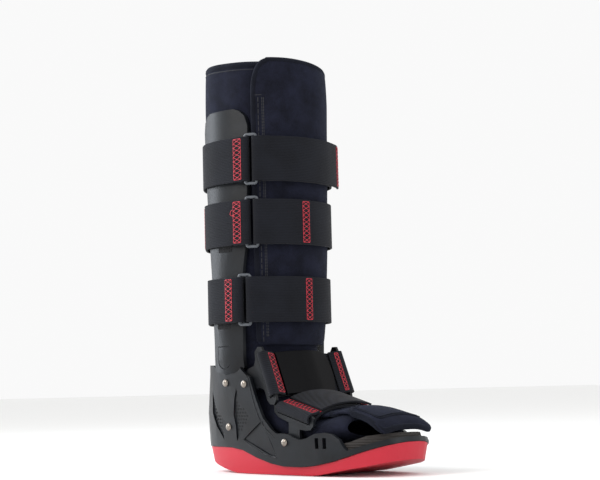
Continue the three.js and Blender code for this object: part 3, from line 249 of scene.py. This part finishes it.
# The straps are woven webbing, 45 mm wide, black round the leg and dark grey over the foot. Each is folded
# round its ring or bar and stitched to itself. Their edges stay square along their length.
def webbing_material(name, dark, light, rib, across):
    """Woven polyester webbing: fine ribs across its length, drawn at rib metres apart, with little gloss."""
    web = new_material(name)
    where = add(web, "ShaderNodeTexCoord").outputs["Object"]
    turned = add(web, "ShaderNodeMapping", Vector=where, Rotation=across)
    ribs = add(
        web, "ShaderNodeTexWave", {"wave_type": "BANDS", "bands_direction": "Z", "wave_profile": "SIN"},
        Vector=turned.outputs["Vector"], Scale=0.314 / rib, Distortion=1.2, Detail=2.0, Detail_Scale=3.0,
    )
    yarn = add(web, "ShaderNodeTexNoise", Vector=where, Scale=1 / 0.0012, Detail=2.0)
    worn = add(web, "ShaderNodeTexNoise", Vector=where, Scale=1 / 0.03, Detail=3.0)
    joined = {"operation": "MULTIPLY_ADD"}
    height = add(web, "ShaderNodeMath", joined, i0=yarn.outputs["Fac"], i1=0.5, i2=ribs.outputs["Fac"])
    tone = add(web, "ShaderNodeMath", joined, i0=worn.outputs["Fac"], i1=0.8, i2=0.0)
    tone = add(web, "ShaderNodeMath", joined, i0=ribs.outputs["Fac"], i1=0.3, i2=tone.outputs[0])
    ramp = add(web, "ShaderNodeValToRGB", Fac=tone.outputs[0])
    ramp.color_ramp.elements[0].position = 0.3
    ramp.color_ramp.elements[0].color = shade(dark)
    ramp.color_ramp.elements[1].position = 0.85
    ramp.color_ramp.elements[1].color = shade(light)
    bump = add(web, "ShaderNodeBump", Height=height.outputs[0], Strength=0.45, Distance=0.0004)
    return finish_material(
        web, Base_Color=ramp.outputs["Color"], Roughness=0.78, Specular_IOR_Level=0.1,
        Sheen_Weight=0.04, Sheen_Roughness=0.6, Normal=bump.outputs["Normal"],
    )


leg_webbing = webbing_material("black_woven_webbing", "#0c0d12", "#16181f", 0.0016, (0, 0, 0))
straps = {}
for strap in ("top", "middle", "lower"):
    piece = worked_copy("strap_" + strap, "leg_strap_" + strap, sharp=48)
    eased(piece, 0.0005)
    straps[strap] = dressed(piece, leg_webbing, "webbing", "strap_" + strap)

# Over the foot the webbing leans with the instep, and a padded cover lies on the ankle strap.
foot_webbing = webbing_material(
    "dark_grey_woven_webbing", "#0f1014", "#1d1f26", 0.0016, (0, math.radians(-22), 0),
)
FOOT_WEBS = {
    "ankle_strap": "ankle_web", "forefoot_strap": "forefoot_web", "forefoot_strap_outer": "forefoot_top_web",
}
for node, name in FOOT_WEBS.items():
    piece = worked_copy(node, name, sharp=48)
    eased(piece, 0.0005)
    straps[name] = dressed(piece, foot_webbing, "webbing", node)

# Coated satin over foam: black, smooth, with a soft gloss.
satin = new_material("black_coated_satin")
satin_where = add(satin, "ShaderNodeTexCoord").outputs["Object"]
satin_grain = add(satin, "ShaderNodeTexNoise", Vector=satin_where, Scale=1 / 0.001, Detail=2.0)
satin_bump = add(satin, "ShaderNodeBump", Height=satin_grain.outputs["Fac"], Strength=0.25, Distance=0.0003)
finish_material(
    satin, Base_Color=shade("#050507"), Roughness=0.36, Specular_IOR_Level=0.07,
    Normal=satin_bump.outputs["Normal"],
)
cover = worked_copy("ankle_strap_cover", "ankle_cover", sharp=60)
eased(cover, 0.0011, 3)
dressed(cover, satin, "satin_cover", "ankle_strap_cover")

# Rings: moulded acetal, mid grey with a half gloss.
acetal = new_material("grey_moulded_acetal")
acetal_where = add(acetal, "ShaderNodeTexCoord").outputs["Object"]
acetal_grain = add(acetal, "ShaderNodeTexNoise", Vector=acetal_where, Scale=1 / 0.0008, Detail=2.0)
acetal_bump = add(
    acetal, "ShaderNodeBump", Height=acetal_grain.outputs["Fac"], Strength=0.12, Distance=0.0003,
)
finish_material(acetal, Base_Color=shade("#474b51"), Roughness=0.4, Normal=acetal_bump.outputs["Normal"])
for strap in ("top", "middle", "lower"):
    ring = worked_copy("ring_" + strap, "leg_ring_" + strap, levels=0)
    eased(ring, 0.0006, 2, 25)
    dressed(ring, acetal, "ring_plastic", "ring_" + strap)


# The base shell is one injection moulding in glass-filled nylon, dark grey with a fine satin grain. Light
# catches its edges, so they are eased. Its walls carry rows of vents, a triangle's outline and two slots.
def surface_of(piece):
    mesh = piece.data
    return BVHTree.FromPolygons([v.co for v in mesh.vertices], [list(p.vertices) for p in mesh.polygons])


def onto(tree, start, direction, raised=0.0):
    """Where a line meets a surface, and the surface's normal there."""
    place, normal, _, _ = tree.ray_cast(Vector(start), Vector(direction))
    if place is None:
        return None
    return place + normal * raised, normal


def round_leg(tree, degrees, height, raised=0.0):
    out = Vector((math.cos(math.radians(degrees)), math.sin(math.radians(degrees)), 0))
    return onto(tree, out * 0.2 + Vector((0, 0, height)), -out, raised)


def swept(name, paths, profile, closed=False):
    """Sweeps a closed profile, of points (off the surface, across it), along paths of (place, normal)."""
    verts, faces = [], []
    for path in paths:
        base = len(verts)
        count = len(path)
        for i, (spot, normal) in enumerate(path):
            before = path[(i - 1) % count if closed else max(i - 1, 0)][0]
            after = path[(i + 1) % count if closed else min(i + 1, count - 1)][0]
            along = (after - before).normalized()
            side = along.cross(normal).normalized()
            outward = side.cross(along).normalized()
            verts.extend(spot + outward * a + side * b for a, b in profile)
        size = len(profile)
        for i in range(count if closed else count - 1):
            j = (i + 1) % count
            for k in range(size):
                m = (k + 1) % size
                here, there = base + i * size, base + j * size
                faces.append((here + k, here + m, there + m, there + k))
        if not closed:
            faces.append(tuple(base + k for k in range(size))[::-1])
            faces.append(tuple(base + (count - 1) * size + k for k in range(size)))
    mesh = bpy.data.meshes.new(name)
    mesh.from_pydata([tuple(v) for v in verts], [], faces)
    piece = bpy.data.objects.new(name, mesh)
    bpy.context.scene.collection.objects.link(piece)
    only(piece)
    bpy.ops.object.mode_set(mode="EDIT")
    bpy.ops.mesh.select_all(action="SELECT")
    bpy.ops.mesh.normals_make_consistent(inside=False)
    bpy.ops.object.mode_set(mode="OBJECT")
    bpy.ops.object.shade_smooth_by_angle(angle=math.radians(60))
    return piece


def oval(a, b, sides=8):
    return [(a * math.cos(math.tau * k / sides), b * math.sin(math.tau * k / sides)) for k in range(sides)]


nylon = new_material("grey_moulded_nylon")
nylon_where = add(nylon, "ShaderNodeTexCoord").outputs["Object"]
nylon_grain = add(nylon, "ShaderNodeTexNoise", Vector=nylon_where, Scale=1 / 0.0009, Detail=3.0)
nylon_cloud = add(nylon, "ShaderNodeTexNoise", Vector=nylon_where, Scale=1 / 0.03, Detail=3.0)
nylon_ramp = add(nylon, "ShaderNodeValToRGB", Fac=nylon_cloud.outputs["Fac"])
nylon_ramp.color_ramp.elements[0].position = 0.35
nylon_ramp.color_ramp.elements[0].color = shade("#0f1013")
nylon_ramp.color_ramp.elements[1].position = 0.7
nylon_ramp.color_ramp.elements[1].color = shade("#171a1e")
nylon_bump = add(nylon, "ShaderNodeBump", Height=nylon_grain.outputs["Fac"], Strength=0.25, Distance=0.0003)
finish_material(
    nylon, Base_Color=nylon_ramp.outputs["Color"], Roughness=0.38, Specular_IOR_Level=0.2,
    Normal=nylon_bump.outputs["Normal"],
)

shell = worked_copy("base_shell", "moulded_base_shell", levels=0)
eased(shell, 0.0008, 2, 32)
dressed(shell, nylon, "shell_plastic", "base_shell")

# Vents: rows of small dark dots on each leaf. A dot is a closed lens, half sunk into the wall, with a lip.
shell_tree = surface_of(shell)
hole_dark = new_material("shadowed_vent")
finish_material(hole_dark, Base_Color=shade("#050506"), Roughness=0.9)


def beside_shell(x, z, side, raised=0.0):
    return onto(shell_tree, (x, side * 0.2, z), (0, -side, 0), raised)


def inside(outline, x, z, margin):
    """Whether a place lies in an outline, at least a margin from its edge."""
    crossings, nearest = 0, 1.0
    for (ax, az), (bx, bz) in zip(outline, outline[1:] + outline[:1]):
        if (az > z) != (bz > z) and x < (bx - ax) * (z - az) / (bz - az) + ax:
            crossings += 1
        edge = Vector((bx - ax, bz - az))
        share = min(1, max(0, Vector((x - ax, z - az)).dot(edge) / edge.length_squared))
        nearest = min(nearest, (Vector((x - ax, z - az)) - edge * share).length)
    return crossings % 2 == 1 and nearest > margin


LEAF_FRONT = [
    (0.016, 0.084), (0.0195, 0.07), (0.035, 0.058), (0.024, 0.048),
    (0.005, 0.032), (0.008, 0.046), (0.008, 0.058), (0.012, 0.074),
]
LEAF_BACK = [
    (-0.029, 0.083), (-0.025, 0.066), (-0.014, 0.056), (-0.017, 0.044),
    (-0.018, 0.033), (-0.029, 0.046), (-0.034, 0.06), (-0.031, 0.074),
]
VENT_PITCH = 0.0042
VENT_ROWS_APART = VENT_PITCH * 0.8
VENT_LOWEST = 0.02
VENT_MARGIN = 0.0018
VENT_RADIUS = 0.0011
VENT_SIDES = 8
VENT_LENS = [(0.0, -0.0004), (1.0, -0.0002), (1.0, 0.00012), (0.8, 0.0), (0.0, 0.0)]
vent_verts, vent_faces = [], []
for side in (-1, 1):
    for leaf in (LEAF_FRONT, LEAF_BACK):
        for row in range(40):
            for column in range(-20, 20):
                x = (column + 0.5 * (row % 2)) * VENT_PITCH
                z = VENT_LOWEST + row * VENT_ROWS_APART
                if not inside(leaf, x, z, VENT_MARGIN):
                    continue
                found = beside_shell(x, z, side, 0.00006)
                if not found:
                    continue
                spot, normal = found
                across = normal.cross(Vector((0, 0, 1))).normalized()
                upward = across.cross(normal)
                base = len(vent_verts)
                for radius, depth in VENT_LENS:
                    for k in range(VENT_SIDES):
                        angle = math.tau * k / VENT_SIDES
                        offset = (across * math.cos(angle) + upward * math.sin(angle)) * radius * VENT_RADIUS
                        vent_verts.append(tuple(spot + offset + normal * depth))
                for ring in range(len(VENT_LENS) - 1):
                    for k in range(VENT_SIDES):
                        m = (k + 1) % VENT_SIDES
                        inner = base + ring * VENT_SIDES
                        outer = inner + VENT_SIDES
                        vent_faces.append((inner + k, inner + m, outer + m, outer + k))
vent_mesh = bpy.data.meshes.new("vent_holes")
vent_mesh.from_pydata(vent_verts, [], vent_faces)
vents = bpy.data.objects.new("vent_holes", vent_mesh)
bpy.context.scene.collection.objects.link(vents)
only(vents)
bpy.ops.object.mode_set(mode="EDIT")
bpy.ops.mesh.select_all(action="SELECT")
bpy.ops.mesh.remove_doubles(threshold=0.000001)
bpy.ops.mesh.dissolve_degenerate(threshold=0.000001)
bpy.ops.mesh.normals_make_consistent(inside=False)
bpy.ops.object.mode_set(mode="OBJECT")
dressed(vents, hole_dark, "shell_plastic")

# Moulded relief on the wall: fine ribs that outline a triangle, and one that follows the top edge.
relief_paths = []
for side in (-1, 1):
    for outline in (
        [(0.0165, 0.033), (0.032, 0.0255), (0.046, 0.02), (0.0645, 0.0165)],
        [(0.0645, 0.0165), (0.058, 0.03), (0.049, 0.052)],
        [
            (0.03, 0.099), (0.035, 0.093), (0.037, 0.083), (0.041, 0.067),
            (0.048, 0.05), (0.056, 0.042), (0.064, 0.036),
        ],
    ):
        fine = []
        for (ax, az), (bx, bz) in zip(outline, outline[1:]):
            fine += [(ax + (bx - ax) * k / 6, az + (bz - az) * k / 6) for k in range(6)]
        fine.append(outline[-1])
        line = [beside_shell(x, z, side, -0.0001) for x, z in fine]
        line = [spot for spot in line if spot]
        if len(line) > 3:
            relief_paths.append(line)
relief = swept("moulded_relief_lines", relief_paths, oval(0.0006, 0.0008, 8))
dressed(relief, nylon, "shell_plastic")

# Uprights: two flat moulded bars, let into the shell and riveted, with a release tab near the foot.
for side in ("lateral", "medial"):
    upright = worked_copy("upright_" + side, "moulded_upright_" + side, levels=0)
    eased(upright, 0.0008, 2, 35)
    dressed(upright, nylon, "shell_plastic", "upright_" + side)

# Brackets: plates of the same nylon, riveted inside the wall; the strap runs round their slotted bars.
for bracket in ("ankle", "forefoot"):
    for side in ("lateral", "medial"):
        node = bracket + "_bracket_" + side
        plate = worked_copy(node, "moulded_" + node, levels=0)
        eased(plate, 0.0007, 2, 35)
        dressed(plate, nylon, "shell_plastic", node)

# The sole is compression-moulded rubber, red, with a rocker and softly rounded edges.
rubber = new_material("red_moulded_rubber")
rubber_where = add(rubber, "ShaderNodeTexCoord").outputs["Object"]
rubber_grain = add(rubber, "ShaderNodeTexNoise", Vector=rubber_where, Scale=1 / 0.001, Detail=2.0)
rubber_bump = add(rubber, "ShaderNodeBump", Height=rubber_grain.outputs["Fac"], Strength=0.2, Distance=0.0003)
finish_material(
    rubber, Base_Color=shade("#b0182c"), Roughness=0.5, Specular_IOR_Level=0.4,
    Normal=rubber_bump.outputs["Normal"],
)
sole = worked_copy("outsole", "rocker_sole", levels=0)
eased(sole, 0.0022, 3, 40)
dressed(sole, rubber, "sole_rubber", "outsole")

# The footbed is cut from ribbed ethylene foam, dark brown-grey, with its ribs running round the edge.
foam = new_material("dark_ribbed_foam")
foam_where = add(foam, "ShaderNodeTexCoord").outputs["Object"]
foam_bands = {"wave_type": "BANDS", "bands_direction": "Z"}
foam_ribs = add(
    foam, "ShaderNodeTexWave", foam_bands, Vector=foam_where, Scale=0.314 / 0.0024, Distortion=0.6,
)
foam_grain = add(foam, "ShaderNodeTexNoise", Vector=foam_where, Scale=1 / 0.0012, Detail=3.0)
foam_ramp = add(foam, "ShaderNodeValToRGB", Fac=foam_grain.outputs["Fac"])
foam_ramp.color_ramp.elements[0].color = shade("#1c1918")
foam_ramp.color_ramp.elements[1].color = shade("#332e2b")
foam_bump = add(foam, "ShaderNodeBump", Height=foam_ribs.outputs["Fac"], Strength=0.8, Distance=0.0006)
finish_material(
    foam, Base_Color=foam_ramp.outputs["Color"], Roughness=0.85, Normal=foam_bump.outputs["Normal"],
)
bed = worked_copy("footbed", "ribbed_footbed", levels=0)
eased(bed, 0.0015, 3, 35)
dressed(bed, foam, "footbed_foam", "footbed")

# Domed rivets, darkened steel, and black hook tape let into the uprights.
steel = new_material("darkened_steel")
steel_where = add(steel, "ShaderNodeTexCoord").outputs["Object"]
steel_wear = add(steel, "ShaderNodeTexNoise", Vector=steel_where, Scale=1 / 0.003, Detail=3.0)
steel_ramp = add(steel, "ShaderNodeValToRGB", Fac=steel_wear.outputs["Fac"])
steel_ramp.color_ramp.elements[0].color = shade("#6e665e")
steel_ramp.color_ramp.elements[1].color = shade("#a39b92")
finish_material(steel, Base_Color=steel_ramp.outputs["Color"], Metallic=1.0, Roughness=0.28)
hooks = new_material("black_hook_tape")
hooks_where = add(hooks, "ShaderNodeTexCoord").outputs["Object"]
hooks_nap = add(hooks, "ShaderNodeTexNoise", Vector=hooks_where, Scale=1 / 0.0009, Detail=2.0)
hooks_bump = add(hooks, "ShaderNodeBump", Height=hooks_nap.outputs["Fac"], Strength=0.9, Distance=0.0006)
finish_material(hooks, Base_Color=shade("#101013"), Roughness=0.95, Normal=hooks_bump.outputs["Normal"])
for side in ("lateral", "medial"):
    for rivet in ("upright", "ankle_bracket", "heel", "forefoot_bracket"):
        node = "rivet_" + rivet + "_" + side
        dressed(worked_copy(node, "domed_" + node, sharp=60), steel, "rivet_metal", node)
    for patch in ("middle", "lower"):
        node = "hook_patch_" + patch + "_" + side
        dressed(worked_copy(node, "tape_" + node, levels=0), hooks, "hook_tape", node)


# The straps' folded ends are sewn with red bonded thread: a rectangle filled with crosses. Each stitch is
# a short piece of thread that lies on the webbing, so its path is dropped onto the finished strap.
# Bonded polyester thread, bright red, with a little gloss
red_thread = new_material("red_bonded_thread")
finish_material(red_thread, Base_Color=shade("#b0142a"), Roughness=0.55, Sheen_Weight=0.1)
THREAD = 0.0003
STITCH = 0.0034
CROSS = 0.0046


def stitched_line(tree, spot_at, start, end):
    """Short stitches between two places given in the two directions of spot_at, in metres."""
    start, end = Vector(start), Vector(end)
    count = max(1, round((end - start).length / STITCH))
    paths = []
    for i in range(count):
        line = []
        for k in range(4):
            share = (i + 0.08 + 0.84 * k / 3) / count
            spot = start.lerp(end, share)
            dip = 0.6 if k in (0, 3) else 1.0
            found = onto(tree, *spot_at(spot.x, spot.y), raised=THREAD * dip * 0.8)
            if found:
                line.append(found)
        if len(line) == 4 and (line[0][0] - line[3][0]).length < 1.6 * STITCH:
            paths.append(line)
    return paths


def cross_box(tree, spot_at, left, right, low, high):
    """A rectangle of stitches filled with crosses."""
    paths = []
    corners = [(left, low), (right, low), (right, high), (left, high)]
    for i in range(4):
        paths += stitched_line(tree, spot_at, corners[i], corners[(i + 1) % 4])
    rows = max(1, round((high - low) / CROSS))
    for i in range(rows):
        foot = low + (high - low) * i / rows
        head = low + (high - low) * (i + 1) / rows
        paths += stitched_line(tree, spot_at, (left, foot), (right, head))
        paths += stitched_line(tree, spot_at, (right, foot), (left, head))
    return paths


LEG_RADIUS = 0.068
STRAP_HEIGHTS = {"top": 0.3115, "middle": 0.2485, "lower": 0.1715}
LEG_BOXES = [
    ("top", -68.5, -61.5), ("middle", -70, -63), ("lower", -79.5, -72.5), ("middle", -10.5, -4),
    ("lower", -6.5, 0), ("top", 41, 48.5), ("middle", -129, -121),
]
BOX_HALF = 0.0205
thread_paths = []
for strap, first, last in LEG_BOXES:
    tree = surface_of(straps[strap])
    height = STRAP_HEIGHTS[strap]

    def round_the_leg(a, b, height=height):
        out = Vector((math.cos(a / LEG_RADIUS), math.sin(a / LEG_RADIUS), 0))
        return out * 0.2 + Vector((0, 0, height + b)), -out

    first, last = math.radians(first) * LEG_RADIUS, math.radians(last) * LEG_RADIUS
    thread_paths += cross_box(tree, round_the_leg, first, last, -BOX_HALF, BOX_HALF)

# Over the foot the boxes lie beside the brackets' bars. A bar is known by its two ends in side view.
BARS = {
    "ankle_web": ((0.0426, 0.118), (0.0604, 0.0746), [(-0.0485, -0.0385), (0.0445, 0.0485)]),
    "forefoot_web": ((0.0651, 0.0621), (0.1089, 0.0497), [(-0.0465, -0.034), (0.035, 0.0465)]),
}
for name, (upper, lower, boxes) in BARS.items():
    tree = surface_of(straps[name])
    upper, lower = Vector((upper[0], 0, upper[1])), Vector((lower[0], 0, lower[1]))
    wide = (lower - upper).normalized()
    away = Vector((-wide.z, 0, wide.x))
    middle = (upper + lower) / 2

    def over_the_foot(a, b, middle=middle, wide=wide, away=away):
        return middle + wide * b + Vector((0, a, 0)) + away * 0.1, -away

    for first, last in boxes:
        thread_paths += cross_box(tree, over_the_foot, first, last, -BOX_HALF, BOX_HALF)
tail = [(-69, 0.2565), (-70.5, 0.2556), (-72.2, 0.2558), (-73.2, 0.2575), (-72.6, 0.26), (-71, 0.2612)]
middle_tree = surface_of(straps["middle"])
thread_paths.append([round_leg(middle_tree, degrees, height, THREAD) for degrees, height in tail])
stitching = swept("red_cross_stitching", thread_paths, oval(THREAD * 0.7, THREAD, 6))
dressed(stitching, red_thread, "webbing")


# Bindings: the liner's rim and the flaps' edges are wrapped in knitted tape, sewn on with dark thread.
RIM_HEIGHT = 0.411
RIM_RISE = 0.008
rim_tree = surface_of(liner)
rim_path = []


def rim_height(away):
    """The rim rises from the shin to the calf. away is the cosine of the angle from the front."""
    return RIM_HEIGHT + RIM_RISE * (1 - away) / 2


for i in range(96):
    angle = math.tau * i / 96
    out = Vector((math.cos(angle), math.sin(angle), 0))
    height = rim_height(out.x)
    outer, normal = onto(rim_tree, out * 0.2 + Vector((0, 0, height - 0.006)), -out)
    rim_path.append((outer - out * 0.003 + Vector((0, 0, 0.0024)), out))
rim = swept("rim_binding", [rim_path], oval(0.0036, 0.0046, 12), closed=True)
dressed(rim, binding_tape, "liner_cloth")

flap_tree = surface_of(front_flap)
NEAR_EDGE, CORNER_TURN, FLAP_TOP, CORNER_DROP = -54, 14, 0.416, 0.030


def flap_top(degrees):
    into = min(1, (degrees - NEAR_EDGE) / CORNER_TURN)
    away = max(0, degrees - NEAR_EDGE - 2 * CORNER_TURN)
    return FLAP_TOP - CORNER_DROP * (1 - math.sqrt(max(0, 1 - (1 - into) ** 2))) - away * away * 0.0000012


edge_places = [(NEAR_EDGE + 2.2, z / 1000) for z in range(130, 384, 6)]
corner_steps = (0.4, 1, 2, 3.5, 5, 7, 9.5, 12)
edge_places += [(NEAR_EDGE + 2.2 + d, flap_top(NEAR_EDGE + d) - 0.0035) for d in corner_steps]
edge_places += [(d, flap_top(d) - 0.0028) for d in range(-39, 50, 4)]
edge_path = []
for degrees, height in edge_places:
    found = round_leg(flap_tree, degrees, height, -0.0012)
    if found:
        edge_path.append(found)
edge = swept("front_flap_binding", [edge_path], oval(0.0019, 0.0031, 10))
dressed(edge, binding_tape, "liner_cloth")

# The instep flap's free edge is a rolled binding, with a line of piping inside it. The edge is the flap's
# outermost line as seen from above; the piping is dropped onto its upper face.
TOE_CENTRE = Vector((0.135, 0, 0))
TOE_BINDING_START = 0.118
toe_tree = surface_of(instep_flap)
outermost = {}
for vertex in instep_flap.data.vertices:
    flat = Vector((vertex.co.x - TOE_CENTRE.x, vertex.co.y, 0))
    bearing = round(math.degrees(math.atan2(flat.y, flat.x)) / 4)
    if bearing not in outermost or flat.length > outermost[bearing][0]:
        outermost[bearing] = (flat.length, vertex.co.copy())
toe_line = [outermost[bearing][1] for bearing in sorted(outermost)]
toe_line = [spot for spot in toe_line if spot.x > TOE_BINDING_START]
for _ in range(3):
    toe_line = [toe_line[0]] + [
        (a + b * 2 + c) / 4 for a, b, c in zip(toe_line, toe_line[1:], toe_line[2:])
    ] + [toe_line[-1]]
toe_path = [(spot, Vector((spot.x - TOE_CENTRE.x, spot.y, 0)).normalized()) for spot in toe_line]
toe_path = [(spot - out * 0.0012, out) for spot, out in toe_path]
toe_edge = swept("instep_flap_binding", [toe_path], oval(0.0024, 0.003, 12))
dressed(toe_edge, binding_tape, "liner_cloth")
piping_paths = []
for inset in (0.009, 0.0115):
    above = [spot - out * inset + Vector((0, 0, 0.05)) for spot, out in toe_path]
    line = [onto(toe_tree, start, (0, 0, -1), 0.0002) for start in above]
    piping_paths.append([found for found in line if found])
piping = swept("instep_flap_piping", piping_paths, oval(0.0007, 0.001, 8))
dressed(piping, binding_tape, "liner_cloth")

# Dark thread: rows of lock stitches along the bindings and the flap's inner seam
dark_thread = new_material("navy_sewing_thread")
finish_material(dark_thread, Base_Color=shade("#0e1018"), Roughness=0.7)
seam_paths = []


def seam(tree, places, raised=0.0001):
    line = [round_leg(tree, degrees, height, raised) for degrees, height in places]
    line = [spot for spot in line if spot]
    for i in range(len(line) - 1):
        a, b = line[i], line[i + 1]
        seam_paths.append([a, (a[0].lerp(b[0], 0.4), a[1]), (a[0].lerp(b[0], 0.75), b[1])])


seam(flap_tree, [(degrees + 4.4, height) for degrees, height in edge_places[:42]])
seam(flap_tree, [(-44, z / 1000) for z in range(135, 377, 3)])
seam(flap_tree, [(-42.6, z / 1000) for z in range(135, 377, 3)])
seam(flap_tree, [(d, 0.377) for d in range(-50, -43)])
seam(rim_tree, [(d, rim_height(math.cos(math.radians(d))) - 0.0078) for d in range(-180, 180, 2)])
seams = swept("dark_seam_stitches", seam_paths, oval(0.00035, 0.00045, 5))
dressed(seams, dark_thread, "liner_cloth")
